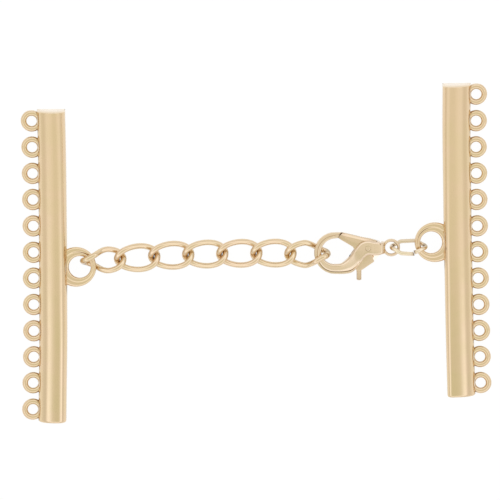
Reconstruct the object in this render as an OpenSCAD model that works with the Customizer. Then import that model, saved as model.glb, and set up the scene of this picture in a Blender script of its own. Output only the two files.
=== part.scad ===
// Two-bar clasp for a necklace or bracelet of many strands.
// Each end bar has a row of strand loops on its outer side and one larger ring on its inner side.
// Seven twisted curb links hang on the left ring. A lobster clasp on a jump ring holds the last link
// to the right ring. The piece lies flat on its back, seen from above with the bars upright.
// X runs along the chain, Y along the bars and Z up from the surface it lies on.
// The origin is under the middle of the whole piece. Millimetres.

/* [End bars] */
// Number of strand loops on each bar
strand_count = 12; // [2:2:16]
// Distance between neighbouring strand loops
strand_pitch = 4.0; // [3.4:0.1:6]
// Length of bar past the first and the last loop centre
bar_overhang = 1.8; // [1.7:0.05:4]
// Width of the bar across its back
bar_w = 4.16; // [4:0.01:4.4]
// Height of the crown above the back
bar_h = 3.05; // [2.9:0.05:3.4]
// Radius of the gentle side of the crown, towards the strand loops
crown_r_outer = 3.0; // [2.8:0.05:3.05]
// Radius of the tight side of the crown, towards the chain
crown_r_inner = 1.5; // [1.4:0.01:1.6]
// Slope at which the gentle side turns into the shoulder above the strand loops
shoulder_slope = 46.5; // [45:0.5:48]
// Corner radius of the bar seen from above, on the chain side
bar_corner_r = 0.4; // [0.1:0.05:0.6]

/* [Strand loops] */
// Radius of the hole in each strand loop
loop_hole_r = 0.78; // [0.6:0.01:0.85]
// Thickness of the loop's metal
loop_wire_d = 0.86; // [0.6:0.01:0.9]
// Distance of the loop's centre from the bar's edge
loop_reach = 0.95; // [0.9:0.01:1.1]
// Height of the loops' middle above the back of the bar
loop_z = 0.55; // [0.45:0.01:0.8]

/* [Bar rings] */
// Outer radius of the larger ring on each bar
ring_outer_r = 3.03; // [2.8:0.01:3.2]
// Radius of its hole
ring_hole_r = 1.64; // [1.4:0.01:1.7]
// Distance of the outer circle's centre from the bar's edge
ring_reach = 1.36; // [1.3:0.01:1.5]
// Distance of the hole's centre from the bar's edge
ring_hole_reach = 1.91; // [1.85:0.01:2]
// Thickness of the ring
ring_t = 0.72; // [0.68:0.04:0.84]
// Height of the ring's middle above the back of the bar
ring_z = 1.5; // [1.4:0.01:1.55]

/* [Chain] */
// Thickness of the link wire
link_wire_d = 0.87; // [0.8:0.01:0.9]
// Length of a link over its wire
link_l = 6.99; // [6.95:0.01:7.05]
// Width of a link over its wire
link_w = 4.42; // [4.3:0.01:4.5]
// Twist of a link, as height gained for each square millimetre of length times width
link_twist = 0.235; // [0.22:0.005:0.25]
// Extra twist of the first link where it takes the bar's ring
first_link_gain = 1.85; // [1.75:0.01:1.85]
// Extra twist of the last link where it takes the hook
last_link_gain = 1.72; // [1.65:0.01:1.8]

/* [Jump ring] */
// Thickness of the jump ring's wire
jump_wire_d = 0.6; // [0.5:0.02:0.64]
// Length of the jump ring over its wire
jump_l = 5.77; // [5.6:0.01:5.9]
// Width of the jump ring over its wire
jump_w = 3.5; // [3.3:0.05:3.6]
// Lean of the jump ring about its length
jump_lean = 52; // [48:1:54]
// Width of the cut where the jump ring closes
jump_cut = 0.06; // [0.02:0.01:0.15]

/* [Lobster clasp] */
// Outer radius of the hook
hook_outer_r = 3.2; // [3.1:0.05:3.3]
// Width of the hook's metal seen from above
hook_w = 1.3; // [1.2:0.05:1.35]
// Thickness of the hook
hook_t = 1.04; // [0.96:0.02:1.06]
// Thickness of the clasp over its two cheeks
cheek_t = 2.5; // [2.4:0.05:2.6]
// Width of the slot that the trigger turns in
slot_t = 1.16; // [1.12:0.01:1.2]
// Thickness of the trigger
trigger_t = 1.02; // [0.96:0.01:1.04]
// Radius of the rivet pin that the trigger turns on
pin_r = 0.4; // [0.3:0.01:0.45]
// Room around the pin in the trigger
pin_room = 0.05; // [0.03:0.01:0.08]
// Radius of the eye's middle line
eye_r = 1.12; // [1.1:0.01:1.15]
// Thickness of the eye's metal seen from above
eye_wire = 0.44; // [0.4:0.01:0.46]

/* [Hidden] */
$fn = 64;
GOLD = [0.87, 0.76, 0.60];
GOLD_DEEP = [0.82, 0.70, 0.53];

// Where the pieces lie. The first number is X, the second Y.
left_bar_at = [-32.71, -2.05];
right_bar_at = [32.43, 1.98];
// Lean of each bar, anticlockwise from above
left_bar_turn = 0.3;
right_bar_turn = 1.07;
// How far each bar's ring lies below the middle of its row of loops
left_ring_drop = 0.12;
right_ring_drop = 0.26;

bar_l = (strand_count - 1) * strand_pitch + 2 * bar_overhang;
loop_mid_r = loop_hole_r + loop_wire_d / 2;
// A short straight wall inside each loop hole
loop_land_r = loop_hole_r + 0.03;
// The crown's top line, and the shoulder that rounds the gentle side down to the upright wall
crown_x = bar_w - crown_r_inner;
crown_arc_z = bar_h - crown_r_outer;
shoulder_r = (crown_x - crown_r_outer * sin(shoulder_slope)) / (1 - sin(shoulder_slope));
shoulder_z = crown_arc_z + (crown_r_outer - shoulder_r) * cos(shoulder_slope);
shoulder_top_x = crown_x - crown_r_outer * sin(shoulder_slope);

// One row for each chain link: [X, Y, turn anticlockwise in degrees]
links = [
    [-23.05, -1.17, 2.7],
    [-17.94, -0.80, 2.9],
    [-12.83, -0.45, 2.2],
    [-7.71, -0.26, 1.7],
    [-2.59, -0.15, 1.6],
    [2.53, -0.11, 0.5],
    [7.65, -0.17, 1.1]];
link_a = (link_l - link_wire_d) / 2;
link_b = (link_w - link_wire_d) / 2;
link_sides = 10;
link_rings = 40;
// Height of the chain's middle where it lies loose, at the bar's ring and at the hook
chain_z = 1.12;
chain_z_ring = 1.6;
clasp_z = 1.6;

jump_at = [22.87, 0.90, 1.52];
jump_turn = 4;
// How far the ring tips up towards the bar
jump_tip = 3;
jump_bend_r = (jump_w - jump_wire_d) / 2;
jump_straight = jump_l - jump_w;

hook_at = [11.87, 0];
hook_mid_r = hook_outer_r - hook_w / 2;
pivot_at = [16.76, 0.88];
eye_at = [20.245, 0.823];
eye_t = 0.68;
knob_r = 0.37;
knob_at = [15.41, -3.76];
// The slanted gap between the hook's tip and the trigger's gate
gap_at = [12.72, 2.56];
gap_turn = 44;
gap_w = 0.12;

function smooth(t) = t <= 0 ? 0 : t >= 1 ? 1 : t * t * (3 - 2 * t);

// Height of the chain's middle at a place along it
function chain_mid(x) = chain_z
    + (chain_z_ring - chain_z) * smooth((-15 - x) / 8)
    + (clasp_z - chain_z) * smooth((x - 2) / 7);

// Extra twist towards one end of a link
function gain(x, left, right) = x > 0 ? 1 + (right - 1) * smooth(x / 1.2) : 1 + (left - 1) * smooth(-x / 1.2);

// A point on the middle line of a link's wire, at an angle around the link
function link_point(row, left, right, a) =
    let (x = link_a * cos(a), y = link_b * sin(a),
         wx = row[0] + x * cos(row[2]) - y * sin(row[2]),
         wy = row[1] + x * sin(row[2]) + y * cos(row[2]))
    [wx, wy, chain_mid(wx) - link_twist * gain(x, left, right) * x * y];

function unit(v) = v / norm(v);

// Rounded strip: a slab of thickness t whose rim is half round
module round_puck(r, t) {
    rotate_extrude() intersection() {
        union() {
            translate([0, -t / 2]) square([r - t / 2, t]);
            translate([r - t / 2, 0]) circle(d = t);
        }
        translate([0, -t]) square([r + t, 2 * t]);
    }
}

// Cutter for a round hole with eased edges: straight wall of radius r, edges rounded by e
module eased_hole(r, t, e) {
    rotate_extrude() difference() {
        translate([0, -t]) square([r + e, 2 * t]);
        translate([r + e, 0]) square([2 * e, t - 2 * e], center = true);
        translate([r + e, t / 2 - e]) circle(r = e);
        translate([r + e, e - t / 2]) circle(r = e);
    }
}

// Bar section: flat back, two-radius crown, rounded shoulder over the loop wall, upright inner side
module bar_section() {
    intersection() {
        union() {
            intersection() {
                translate([crown_x, crown_arc_z]) circle(r = crown_r_outer, $fn = 96);
                translate([shoulder_top_x, 0]) square([crown_x - shoulder_top_x, bar_h]);
            }
            translate([shoulder_r, shoulder_z]) circle(r = shoulder_r, $fn = 96);
            translate([crown_x, bar_h - crown_r_inner]) circle(r = crown_r_inner, $fn = 96);
            translate([0, -1]) square([shoulder_r, 1 + shoulder_z]);
            translate([1, -1]) square([bar_w - 1, 1 + bar_h - crown_r_inner]);
        }
        translate([-1, 0]) square([bar_w + 2, bar_h + 1]);
    }
}

module bar_plan() {
    translate([-1, -bar_l / 2]) square([bar_w + 1 - bar_corner_r, bar_l]);
    translate([-1, bar_corner_r - bar_l / 2]) square([bar_w + 1, bar_l - 2 * bar_corner_r]);
    for (s = [-1, 1]) {
        translate([bar_w - bar_corner_r, s * (bar_l / 2 - bar_corner_r)]) circle(r = bar_corner_r);
    }
}

module strand_loop() {
    difference() {
        rotate_extrude() translate([loop_mid_r, 0]) circle(d = loop_wire_d);
        cylinder(r = loop_land_r, h = 2, center = true);
    }
}

// One end bar with its loops on the left. The reference point is the middle of its outer edge.
module end_bar(drop) {
    difference() {
        union() {
            intersection() {
                translate([0, bar_l / 2, 0]) rotate([90, 0, 0]) linear_extrude(bar_l) bar_section();
                linear_extrude(bar_h + 1) bar_plan();
            }
            for (i = [0 : strand_count - 1]) {
                translate([-loop_reach, (i - (strand_count - 1) / 2) * strand_pitch, loop_z]) strand_loop();
            }
            translate([bar_w + ring_reach, drop, ring_z]) round_puck(ring_outer_r, ring_t);
        }
        translate([bar_w + ring_hole_reach, drop, ring_z]) eased_hole(ring_hole_r, ring_t, 0.34);
    }
}

module left_end_bar() {
    color(GOLD) translate(left_bar_at) rotate(left_bar_turn) end_bar(-left_ring_drop);
}

// The same bar turned half round
module right_end_bar() {
    color(GOLD) translate(right_bar_at) rotate(180 + right_bar_turn) end_bar(right_ring_drop);
}

// One twisted curb link: round wire swept along a closed oval whose ends twist opposite ways
module curb_link(i) {
    left = i == 0 ? first_link_gain : 1;
    right = i == len(links) - 1 ? last_link_gain : 1;
    step = 360 / link_rings;
    points = [for (k = [0 : link_rings - 1])
        let (a = k * step,
             p = link_point(links[i], left, right, a),
             along = unit(link_point(links[i], left, right, a + 1) - link_point(links[i], left, right, a - 1)),
             side = unit(cross(along, [0, 0, 1])),
             over = cross(side, along))
        for (j = [0 : link_sides - 1])
            p + link_wire_d / 2 * (side * cos(j * 360 / link_sides) + over * sin(j * 360 / link_sides))];
    faces = [for (k = [0 : link_rings - 1])
        for (j = [0 : link_sides - 1])
            let (k2 = (k + 1) % link_rings, j2 = (j + 1) % link_sides,
                 p = k * link_sides + j, q = k * link_sides + j2,
                 r = k2 * link_sides + j2, s = k2 * link_sides + j)
            each [[p, q, r], [p, r, s]]];
    color(GOLD) polyhedron(points = points, faces = faces);
}

module chain_link_1() { curb_link(0); }
module chain_link_2() { curb_link(1); }
module chain_link_3() { curb_link(2); }
module chain_link_4() { curb_link(3); }
module chain_link_5() { curb_link(4); }
module chain_link_6() { curb_link(5); }
module chain_link_7() { curb_link(6); }

// Oval jump ring, open by a fine cut on its front strand near the bar's ring
module jump_ring() {
    color(GOLD_DEEP) translate(jump_at) rotate([-jump_lean, -jump_tip, 0]) rotate(jump_turn) difference() {
        union() {
            for (s = [-1, 1]) {
                translate([s * jump_straight / 2, 0, 0]) rotate(s > 0 ? -90 : 90)
                    rotate_extrude(angle = 180) translate([jump_bend_r, 0]) circle(d = jump_wire_d);
                translate([0, s * jump_bend_r, 0]) rotate([0, 90, 0])
                    cylinder(d = jump_wire_d, h = jump_straight, center = true);
            }
        }
        translate([0.75, -jump_bend_r, 0]) rotate(12) cube([jump_cut, 1.2, 1.2], center = true);
    }
}

// Clasp body seen from above, right of the hook: arm, cheeks and neck
module body_plan() {
    polygon([
        [11.60, -1.90], [13.00, -1.60], [13.70, -0.75], [14.35, 0.20], [14.65, 0.50],
        [14.80, 0.62], [15.18, 1.10], [15.75, 1.68], [16.35, 1.92], [17.10, 1.96],
        [17.80, 1.88], [18.60, 1.72], [19.20, 1.50], [19.20, 0.12], [18.60, -0.20],
        [17.80, -1.22], [17.30, -0.62], [16.50, -0.75], [15.70, -1.30], [15.05, -1.95],
        [14.80, -2.72], [14.10, -3.02], [13.00, -3.20], [11.60, -3.20]]);
}

// Clasp body seen from the side: the hook's thickness swells to the cheeks and narrows to the eye
module body_side() {
    h = hook_t / 2;
    c = cheek_t / 2;
    polygon([
        [11.50, -h], [12.40, -h], [14.30, -c], [17.60, -c], [18.60, -0.75], [19.30, -0.5],
        [19.30, 0.5], [18.60, 0.75], [17.60, c], [14.30, c], [12.40, h], [11.50, h]]);
}

// Room that the trigger turns in, between the cheeks
module slot_plan() {
    polygon([
        [13.00, 3.60], [18.15, 3.60], [18.15, -0.25], [19.50, -0.35], [19.50, -4.60],
        [14.88, -4.60], [14.68, -2.30], [14.62, -0.95], [13.00, -0.60]]);
}

module trigger_plan() {
    polygon([
        [12.62, 2.04], [13.22, 2.62], [13.22, 2.96], [13.60, 2.92], [15.80, 2.40], [17.06, 2.26],
        [17.85, 2.14], [17.98, 1.70], [17.98, 0.60], [17.30, -0.25], [17.69, -1.25],
        [15.80, -2.55], [15.78, -3.76], [15.04, -3.76], [15.04, -2.75], [14.86, -2.20],
        [14.92, -1.30], [15.10, -0.30], [14.60, 0.44], [13.80, 1.22], [12.95, 1.72]]);
}

module clasp_body() {
    color(GOLD) translate([0, 0, clasp_z]) difference() {
        union() {
            // Hook, cut off on the slant at its tip
            difference() {
                translate(hook_at) rotate(60) rotate_extrude(angle = 232)
                    translate([hook_mid_r, 0]) {
                        square([hook_w - hook_t, hook_t], center = true);
                        translate([(hook_w - hook_t) / 2, 0]) circle(d = hook_t);
                        translate([(hook_t - hook_w) / 2, 0]) circle(d = hook_t);
                    }
                translate(gap_at) rotate(gap_turn) translate([-2, -3, -1]) cube([4, 3 + gap_w / 2, 2]);
            }
            difference() {
                intersection() {
                    linear_extrude(4, center = true) body_plan();
                    translate([0, 5, 0]) rotate([90, 0, 0]) linear_extrude(10) body_side();
                }
                linear_extrude(slot_t, center = true) slot_plan();
            }
            translate(eye_at) rotate_extrude() translate([eye_r, 0]) {
                square([eye_wire, eye_t - eye_wire], center = true);
                translate([0, (eye_t - eye_wire) / 2]) circle(d = eye_wire);
                translate([0, (eye_wire - eye_t) / 2]) circle(d = eye_wire);
            }
        }
        // Pin hole through both cheeks
        translate(pivot_at) cylinder(r = pin_r + 0.02, h = 4, center = true);
        // The eye stays open where the neck meets it
        translate(eye_at) cylinder(r = eye_r - eye_wire / 2, h = 4, center = true);
    }
}

// Sprung trigger: gate, pivot and thumb lever with a round knob, in one plate
module clasp_trigger() {
    color(GOLD_DEEP) translate([0, 0, clasp_z]) difference() {
        union() {
            linear_extrude(trigger_t, center = true) trigger_plan();
            translate(knob_at) cylinder(r = knob_r, h = trigger_t, center = true);
        }
        translate(pivot_at) cylinder(r = pin_r + pin_room, h = 4, center = true);
    }
}

module clasp_pin() {
    color(GOLD_DEEP) translate([pivot_at[0], pivot_at[1], clasp_z])
        cylinder(r = pin_r, h = cheek_t - 0.06, center = true);
}

left_end_bar();
right_end_bar();
chain_link_1();
chain_link_2();
chain_link_3();
chain_link_4();
chain_link_5();
chain_link_6();
chain_link_7();
jump_ring();
clasp_body();
clasp_trigger();
clasp_pin();
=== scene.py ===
"""A two-bar clasp for many bead strands, laid flat: two cast end bars, a short curb chain, a lobster
clasp and a jump ring, all in pale gold plate. Metres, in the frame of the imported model."""
import math
import random

import bmesh
import bpy
from mathutils import Matrix, Vector, kdtree


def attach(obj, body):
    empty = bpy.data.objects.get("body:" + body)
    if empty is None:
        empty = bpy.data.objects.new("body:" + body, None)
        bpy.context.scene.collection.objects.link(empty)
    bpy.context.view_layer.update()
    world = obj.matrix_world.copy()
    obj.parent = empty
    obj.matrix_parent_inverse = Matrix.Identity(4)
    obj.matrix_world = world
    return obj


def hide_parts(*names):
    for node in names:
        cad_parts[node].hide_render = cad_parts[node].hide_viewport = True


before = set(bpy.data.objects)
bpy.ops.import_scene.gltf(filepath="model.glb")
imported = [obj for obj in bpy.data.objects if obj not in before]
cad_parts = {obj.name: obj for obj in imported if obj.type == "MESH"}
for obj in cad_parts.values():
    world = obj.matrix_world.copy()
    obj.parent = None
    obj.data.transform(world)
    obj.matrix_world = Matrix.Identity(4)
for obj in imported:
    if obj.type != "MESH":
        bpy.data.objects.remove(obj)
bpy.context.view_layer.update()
# The pieces' sizes and places are in millimetres until they're multiplied by this. The finishes, the
# table, the tent and the camera's distance are in metres
MM = 0.001

# End bars. Each is one zinc casting: a rounded bar with a flat back, a row of strand loops along one
# side and a larger ring on the other. It is tumbled, polished and plated in pale gold, so the metal is
# smooth but a little wavy. The right bar is the same casting turned half round.
bar_length = 47.6
bar_width = 4.16
bar_height = 3.05
loop_side_at = -0.07
crown_slope = math.radians(6.5)
side_radius = 3.0
shoulder_slope = math.radians(46.5)
shoulder_radius = 1.76
foot_radius = 0.09
strand_count = 12
strand_pitch = 4.0
loop_wire_radius = 0.435
loop_middle_radius = 1.2
loop_reach = 0.93
loop_height = 0.55
ring_outer_radius = 3.03
ring_hole_radius = 1.64
ring_reach = 1.36
ring_hole_reach = 1.91
ring_height = 1.5
ring_half_thickness = 0.36
# How far polishing has taken the ends' edges, along the bar and into it. It begins just above the foot
# and works fully from these heights on; the edges round off towards a point inside the bar
near_ease = (0.3, 0.3)
far_ease = (0.26, 1.1)
eased_from = foot_radius + 0.01
full_shortening_at = 0.4
full_rounding_at = 1.1
eased_towards = Vector((bar_width / 2, 0.3))
# Steps along the bar and round each of its ends' edges
bar_steps = 160
ease_steps = 6
# How much the strand loops stray from their places
loop_unevenness = 0.045
# Painted shade: how far it reaches from the loops' joints and from the ring's crease
joint_shade_reach = 0.34
crease_shade_reach = 0.085
# The painted highlight at each bar's far end: the length of its pale strip, and its weakest and its added
# strength
highlight_strip_length = 0.22
highlight_strip_strengths = (0.3, 0.6)
# Place, turn, how far the ring sits off the middle, the radius of the crown's ring side at the casting's
# two ends, the easing of the same two ends, how much was dressed off them, and where the ring's crease
# is deepest and its painted shade darkest
bars = {
    "left_end_bar": ((-32.71, -2.05), 0.3, -0.12, (1.35, 1.75), (near_ease, far_ease), (0.001, 0.13), 75),
    "right_end_bar": ((32.43, 1.98), 181.07, 0.26, (1.45, 0.8), (far_ease, near_ease), (0.15, 0.001), -56)}
# How far each bar is bent sideways along its length: places along Y and shifts along X
bar_bends = {
    "left_end_bar": [(-27, -0.24), (-24.5, -0.2), (-19, -0.09), (-13, 0.02), (-7, 0.05), (-2, 0.08),
                     (4.4, 0.08), (9.7, 0.075), (15.7, 0.04), (22, -0.05), (24, -0.07)],
    "right_end_bar": [(-24, 0.05), (-21.9, 0.05), (-19, 0.02), (-15, -0.03), (-9, -0.07), (-4, -0.08),
                      (0, -0.12), (4.5, -0.12), (8.6, -0.11), (12.5, -0.1), (16.4, -0.09), (20.3, -0.05),
                      (24.5, 0.04), (27, 0.06)]}


def placed(name, data):
    """Puts a new object with the given data into the scene."""
    thing = bpy.data.objects.new(name, data)
    bpy.context.scene.collection.objects.link(thing)
    return thing


def soften(mesh, smooth_below):
    """Shades a mesh softly, except over edges sharper than an angle."""
    for face in mesh.polygons:
        face.use_smooth = True
    mesh.set_sharp_from_angle(angle=math.radians(smooth_below))


def piece_from(name, shape, material, smooth_below=40):
    """Makes a scene object from a bmesh, with outward normals and soft shading up to an angle."""
    bmesh.ops.remove_doubles(shape, verts=shape.verts, dist=1e-7)
    bmesh.ops.recalc_face_normals(shape, faces=shape.faces)
    mesh = bpy.data.meshes.new(name)
    shape.to_mesh(mesh)
    shape.free()
    mesh.materials.append(material)
    soften(mesh, smooth_below)
    return placed(name, mesh)


def bake(piece, smooth_below=40):
    """Turns what the piece's modifiers make into its plain mesh, and removes the modifiers."""
    evaluated = piece.evaluated_get(bpy.context.evaluated_depsgraph_get())
    mesh = bpy.data.meshes.new_from_object(evaluated)
    piece.modifiers.clear()
    piece.data = mesh
    mesh.name = piece.name
    soften(mesh, smooth_below)


def with_tree(piece, tree, **sizes):
    """Gives the piece a geometry tree, sets its named inputs by their identifiers and bakes it."""
    modifier = piece.modifiers.new(tree.name, "NODES")
    modifier.node_group = tree
    for item in tree.interface.items_tree:
        label = item.name.lower().replace(" ", "_")
        if item.item_type == "SOCKET" and item.in_out == "INPUT" and label in sizes:
            modifier[item.identifier] = sizes[label]
    bake(piece)


def skin(rings, closed=False):
    """A shape that joins rings of points, each with the same count, with quads. Open ends are capped."""
    shape = bmesh.new()
    rows = [[shape.verts.new(point) for point in ring] for ring in rings]
    count = len(rows[0])
    for k in range(len(rows) if closed else len(rows) - 1):
        this, following = rows[k], rows[(k + 1) % len(rows)]
        for j in range(count):
            shape.faces.new((this[j], this[(j + 1) % count], following[(j + 1) % count], following[j]))
    if not closed:
        shape.faces.new(rows[0])
        shape.faces.new(rows[-1])
    return shape


def turns(count):
    """Evenly spaced angles, once round."""
    return [2 * math.pi * k / count for k in range(count)]


def arc(centre, radius, start, end, steps):
    """Points along an arc in a plane, from one angle to another in degrees."""
    for k in range(steps + 1):
        a = math.radians(start + (end - start) * k / steps)
        yield centre[0] + radius * math.cos(a), centre[1] + radius * math.sin(a)


def marked_ring(inner, outer, middle_z, half_height, marks):
    """Points round a strip's section whose height across it is read from marks, alike above and below."""
    plan = [inner + (outer - inner) * u for u, h in marks]
    upper, lower = [[Vector((p.x, p.y, middle_z + side * half_height * h)) for p, (u, h) in zip(plan, marks)]
                    for side in (1, -1)]
    return upper + lower[-2:0:-1]


def between(rows, steps):
    """Fills in rows of numbers along a smooth curve through the given ones."""
    filled = []
    for k in range(len(rows) - 1):
        a, b, c, d = rows[max(k - 1, 0)], rows[k], rows[k + 1], rows[min(k + 2, len(rows) - 1)]
        for s in range(steps):
            t = s / steps
            filled.append([0.5 * (2 * q + (r - p) * t + (2 * p - 5 * q + 4 * r - w) * t * t
                                  + (3 * q - p - 3 * r + w) * t ** 3) for p, q, r, w in zip(a, b, c, d)])
    filled.append(list(rows[-1]))
    return filled


def read_off(line, place):
    """The value of a line of (place, value) points at a place."""
    for (x0, y0), (x1, y1) in zip(line, line[1:]):
        if place <= x1:
            return y0 + (y1 - y0) * (place - x0) / (x1 - x0)
    return line[-1][1]


def bar_section(inner_radius):
    """The bar's outline from its loop side over the crown to its ring side."""
    crown_x = bar_width - inner_radius
    lean, steep = math.sin(crown_slope), math.sin(shoulder_slope)
    side_run = side_radius * (steep - lean) + shoulder_radius * (1 - steep)
    top_radius = (crown_x - loop_side_at - side_run) / lean
    side_z = bar_height - top_radius + (top_radius - side_radius) * math.cos(crown_slope)
    shoulder_z = side_z + (side_radius - shoulder_radius) * math.cos(shoulder_slope)
    side_x = crown_x - (top_radius - side_radius) * lean
    shoulder_x = loop_side_at + shoulder_radius
    low, high = 90 + math.degrees(crown_slope), 90 + math.degrees(shoulder_slope)
    yield from arc((loop_side_at + foot_radius, foot_radius), foot_radius, 270, 180, 4)
    yield loop_side_at, shoulder_z / 2
    yield from arc((shoulder_x, shoulder_z), shoulder_radius, 180, high, 12)
    yield from list(arc((side_x, side_z), side_radius, high, low, 14))[1:]
    yield from list(arc((crown_x, bar_height - top_radius), top_radius, low, 90, 8))[1:]
    yield from list(arc((crown_x, bar_height - inner_radius), inner_radius, 90, 0, 20))[1:]
    yield bar_width, (bar_height - inner_radius) / 2
    yield from arc((bar_width - foot_radius, foot_radius), foot_radius, 0, -90, 4)


def bar_shape(inner_radii, eases, dressed):
    """The bar itself: its section swept along its length, with the ends' edges polished round."""
    low, high = dressed[0] - bar_length / 2, bar_length / 2 - dressed[1]
    places = [(low, k, -1) for k in range(ease_steps + 1)]
    places += [(low + (high - low) * k / bar_steps, ease_steps, 0) for k in range(1, bar_steps)]
    places += [(high, k, 1) for k in range(ease_steps, -1, -1)]
    rings = []
    for y, k, end in places:
        share = 0.5 + y / bar_length
        outline = bar_section(inner_radii[0] * (1 - share) + inner_radii[1] * share)
        a = math.radians(90 - 90 * k / ease_steps)
        reach, depth = eases[end > 0] if end else (0, 0)
        ring = []
        for point in (Vector(pair) for pair in outline):
            above_foot = max(0, point.y - eased_from)
            inward = depth * min(1, above_foot / full_rounding_at) * (1 - math.cos(a))
            eased = point + (eased_towards - point).normalized() * inward
            shorter = reach * min(1, above_foot / full_shortening_at) * (1 - math.sin(a))
            ring.append((eased.x, y - end * shorter, eased.y))
        rings.append(ring)
    return skin(rings)


# Height across the ring's strip from its hole outwards: two rounded swells and a crease between them
ring_marks = [(0, 0), (0.01, 0.3), (0.04, 0.58), (0.09, 0.80), (0.16, 0.94), (0.25, 1.0), (0.33, 0.99),
              (0.40, 0.93), (0.45, 0.84), (0.475, 0.74), (0.49, 0.71), (0.505, 0.74), (0.53, 0.84),
              (0.58, 0.93), (0.66, 0.98), (0.74, 0.97), (0.82, 0.90), (0.89, 0.78), (0.945, 0.60),
              (0.98, 0.36), (0.995, 0.15), (1, 0)]
# Where the crease lies across the strip, how wide it is to each side, and the height beside it and in it
crease_share = 0.49
crease_half_width = 0.1
crease_side = 0.95
crease_floor = 0.71
# How far round the ring its depth and its painted shade spread, in degrees, and the painted shade's strength
crease_spread = 50
crease_shade_spread = 34
crease_shade_strength = 0.85


def bar_ring_shape(drop, dark_at):
    """The bar's larger ring: a hole set off centre in a round disc, with a crease along its strip."""
    hole = Vector((bar_width + ring_hole_reach, drop))
    disc = Vector((bar_width + ring_reach, drop))
    rings = []
    crease = []
    for a in turns(120):
        ray = Vector((math.cos(a), math.sin(a)))
        offset = hole - disc
        root = offset.dot(ray) ** 2 - offset.length_squared + ring_outer_radius ** 2
        inner, outer = hole + ray * ring_hole_radius, hole + ray * (-offset.dot(ray) + math.sqrt(root))
        # The crease is deepest and has the most painted shade at one place round the ring
        off = (math.degrees(a) - dark_at + 180) % 360 - 180
        depth = 0.5 + 0.5 * math.exp(-(off / crease_spread) ** 2)
        darkening = crease_shade_strength * math.exp(-(off / crease_shade_spread) ** 2)
        marks = []
        for u, h in ring_marks:
            in_crease = abs(u - crease_share) < crease_half_width
            marks.append((u, crease_side + (h - crease_side) * depth if in_crease else h))
        rings.append(marked_ring(inner, outer, ring_height, ring_half_thickness, marks))
        if math.cos(a) > -0.45:
            spot = inner + (outer - inner) * crease_share
            floor = ring_half_thickness * (crease_side - (crease_side - crease_floor) * depth)
            crease.append((Vector((spot.x, spot.y, ring_height + floor)), darkening))
    return skin(rings, closed=True), crease


def feed(tree, socket, term):
    """Gives an input a plain value, or links it to another node's output."""
    if isinstance(term, bpy.types.NodeSocket):
        tree.links.new(term, socket)
    else:
        socket.default_value = term


def calc(tree, operation, *terms):
    """One step of arithmetic in a node tree. A term is a number or another node's output."""
    step = tree.nodes.new("ShaderNodeMath")
    step.operation = operation
    for socket, term in zip(step.inputs, terms):
        feed(tree, socket, term)
    return step.outputs[0]


def add_node(tree, kind, settings=None, **terms):
    """Adds a node with its settings and feeds its inputs, named by their labels in small letters."""
    node = tree.nodes.new(kind)
    for name, value in (settings or {}).items():
        setattr(node, name, value)
    for label, term in terms.items():
        feed(tree, node.inputs[label.replace("_", " ").title()], term)
    return node


def ease_between(tree, value, low, high, low_result=0.0, high_result=1.0):
    """Goes smoothly from one result to the other while a value goes from low to high."""
    return add_node(tree, "ShaderNodeMapRange", {"interpolation_type": "SMOOTHSTEP"}, value=value,
                    from_min=low, from_max=high, to_min=low_result, to_max=high_result).outputs[0]


def mixed_color(tree, share, first, second):
    """Mixes two colours by the second one's share."""
    mix = add_node(tree, "ShaderNodeMix", {"data_type": "RGBA"}, factor=share)
    feed(tree, mix.inputs[6], first)
    feed(tree, mix.inputs[7], second)
    return mix.outputs[2]


def new_tree(name, sizes, material):
    """A geometry tree with a geometry input, named number inputs and a closing Set Material."""
    tree = bpy.data.node_groups.new(name, "GeometryNodeTree")
    tree.interface.new_socket("Geometry", in_out="INPUT", socket_type="NodeSocketGeometry")
    for label in sizes:
        tree.interface.new_socket(label, in_out="INPUT", socket_type="NodeSocketFloat")
    tree.interface.new_socket("Geometry", in_out="OUTPUT", socket_type="NodeSocketGeometry")
    given = tree.nodes.new("NodeGroupInput")
    realize = tree.nodes.new("GeometryNodeRealizeInstances")
    finish = add_node(tree, "GeometryNodeSetMaterial", geometry=realize.outputs[0], material=material)
    tree.links.new(finish.outputs[0], tree.nodes.new("NodeGroupOutput").inputs[0])
    return tree, given.outputs, realize.inputs[0]


def tube(tree, path, radius, sides, swell=1.0):
    """Sweeps a round wire along a curve in a geometry tree, thicker where swell is above 1."""
    profile = add_node(tree, "GeometryNodeCurvePrimitiveCircle", resolution=sides, radius=radius)
    sweep = add_node(tree, "GeometryNodeCurveToMesh", curve=path, profile_curve=profile.outputs["Curve"],
                     scale=swell, fill_caps=True)
    return sweep.outputs["Mesh"]


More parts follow.
